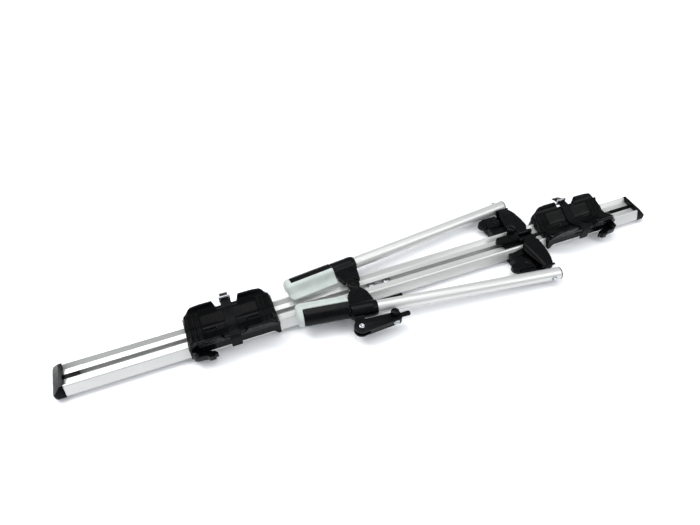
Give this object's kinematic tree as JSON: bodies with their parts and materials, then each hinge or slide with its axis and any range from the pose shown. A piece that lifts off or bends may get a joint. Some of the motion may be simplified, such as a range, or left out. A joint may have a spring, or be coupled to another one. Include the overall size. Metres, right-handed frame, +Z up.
{
  "type": "roof-mounted bicycle carrier",
  "caption": "Roof bicycle carrier: a gutter rail with sliding wheel trays and a fold-flat tube frame whose padded jaws clamp the bicycle's down tube.",
  "frame": {"origin": "centre of the rail's flat underside", "axes": "+X along the rail, from the jaws' end to the base's end; +Y to the side away from the clamp lever; +Z up"},
  "size_m": [1.3846, 0.269, 0.066],
  "materials": {
    "alloy": "satin anodised",
    "black_plastic": "fine-grained moulding",
    "black_rubber": "matt",
    "pale_rubber": "soft, matt",
    "steel": "zinc-plated",
    "webbing": "ribbed strap"
  },
  "bodies": {
    "rail": {"rail": "alloy", "end_cap_left": "black_plastic", "end_cap_right": "black_plastic", "rear_bar_foot": "black_plastic", "rear_bar_pad": "black_rubber", "rear_foot_bolt_1": "steel", "rear_foot_bolt_2": "steel", "base_cradle": "black_plastic", "front_bar_pad": "black_rubber", "hinge_block": "black_plastic", "base_slot_nut": "black_plastic", "clamp_bolt_far": "black_plastic", "clamp_bolt_near": "black_plastic", "wing_hinge_pin_far": "steel", "wing_hinge_pin_near": "steel"},
    "wing_near": {"wing_near": "black_plastic", "fold_pin_near": "steel"},
    "wing_far": {"wing_far": "black_plastic", "fold_pin_far": "steel"},
    "arm_near": {"tube_near": "alloy", "tube_plug_near": "black_plastic", "head_near": "black_plastic", "jaw_shell_near": "black_plastic", "jaw_pad_near": "pale_rubber", "hub_bolt": "black_plastic", "lever_rivet": "steel"},
    "arm_far": {"tube_far": "alloy", "tube_plug_far": "black_plastic", "head_far": "black_plastic", "jaw_shell_far": "black_plastic", "jaw_pad_far": "pale_rubber"},
    "clamp_lever": {"clamp_lever": "black_plastic"},
    "tension_knob": {"tension_knob": "black_plastic"},
    "lever_lock": {"lever_lock_barrel": "steel"},
    "base_lock": {"base_lock_barrel": "black_plastic"},
    "release_knob": {"release_knob": "black_plastic"},
    "tray_left": {"tray_left": "black_plastic", "grip_pad_left_outer": "black_rubber", "grip_pad_left_inner": "black_rubber", "strap_left": "webbing", "buckle_frame_left": "steel", "slot_nut_left": "black_plastic", "lock_pin_left": "black_plastic"},
    "buckle_lever_left": {"buckle_lever_left": "black_plastic"},
    "lock_lever_left": {"lock_lever_left": "black_plastic"},
    "tray_right": {"tray_right": "black_plastic", "grip_pad_right_outer": "black_rubber", "grip_pad_right_inner": "black_rubber", "strap_right": "webbing", "buckle_frame_right": "steel", "slot_nut_right": "black_plastic", "lock_pin_right": "black_plastic"},
    "buckle_lever_right": {"buckle_lever_right": "black_plastic"},
    "lock_lever_right": {"lock_lever_right": "black_plastic"}
  },
  "joints": [
    {"name": "jaw_near_open", "type": "hinge", "parent": "rail", "child": "wing_near", "pos_m": [0.362, -0.0095, 0.0243], "axis": [1, 0, 0], "range_deg": [0, 2]},
    {"name": "jaw_far_open", "type": "hinge", "parent": "rail", "child": "wing_far", "pos_m": [0.362, 0.0095, 0.0243], "axis": [-1, 0, 0], "range_deg": [0, 2]},
    {"name": "fold_near", "type": "hinge", "parent": "wing_near", "child": "arm_near", "pos_m": [0.357, -0.1173, 0.0105], "axis": [0, 1, 0], "range_deg": [0, 95]},
    {"name": "fold_far", "type": "hinge", "parent": "wing_far", "child": "arm_far", "pos_m": [0.357, 0.1173, 0.0105], "axis": [0, 1, 0], "range_deg": [0, 95]},
    {"name": "clamp_lever_swing", "type": "hinge", "parent": "arm_near", "child": "clamp_lever", "pos_m": [-0.09686, -0.107, 0.02175], "axis": [0.0248, 0, 0.9997], "range_deg": [-100, 0]},
    {"name": "tension_knob_turn", "type": "hinge", "parent": "clamp_lever", "child": "tension_knob", "pos_m": [-0.02059, -0.101, 0.03186], "axis": [0.0248, 0, 0.9997], "continuous": true},
    {"name": "lever_lock_turn", "type": "hinge", "parent": "clamp_lever", "child": "lever_lock", "pos_m": [-0.02291, -0.117, 0.01892], "axis": [0, -1, 0], "range_deg": [0, 90]},
    {"name": "base_lock_turn", "type": "hinge", "parent": "rail", "child": "base_lock", "pos_m": [0.323, -0.002, 0.033], "axis": [0, 0, 1], "range_deg": [0, 90]},
    {"name": "release_knob_turn", "type": "hinge", "parent": "rail", "child": "release_knob", "pos_m": [0.331, 0.017, 0.033], "axis": [0, 0, 1], "range_deg": [0, 90]},
    {"name": "tray_left_slide", "type": "slide", "parent": "rail", "child": "tray_left", "axis": [1, 0, 0], "range_m": [-0.2, 0.015]},
    {"name": "tray_right_slide", "type": "slide", "parent": "rail", "child": "tray_right", "axis": [1, 0, 0], "range_m": [-0.012, 0.03]},
    {"name": "buckle_left_open", "type": "hinge", "parent": "tray_left", "child": "buckle_lever_left", "pos_m": [-0.341, 0.054, 0.042], "axis": [1, 0, 0], "range_deg": [0, 45]},
    {"name": "buckle_right_open", "type": "hinge", "parent": "tray_right", "child": "buckle_lever_right", "pos_m": [0.495, 0.054, 0.042], "axis": [1, 0, 0], "range_deg": [0, 45]},
    {"name": "lock_left_open", "type": "hinge", "parent": "tray_left", "child": "lock_lever_left", "pos_m": [-0.423, -0.0485, 0.015], "axis": [0, 0, -1], "range_deg": [0, 60]},
    {"name": "lock_right_open", "type": "hinge", "parent": "tray_right", "child": "lock_lever_right", "pos_m": [0.577, -0.0485, 0.015], "axis": [0, 0, 1], "range_deg": [0, 60]}
  ],
  "couplings": [
    {"joint": "jaw_far_open", "follows": "jaw_near_open", "ratio": 1},
    {"joint": "fold_far", "follows": "fold_near", "ratio": 1}
  ]
}
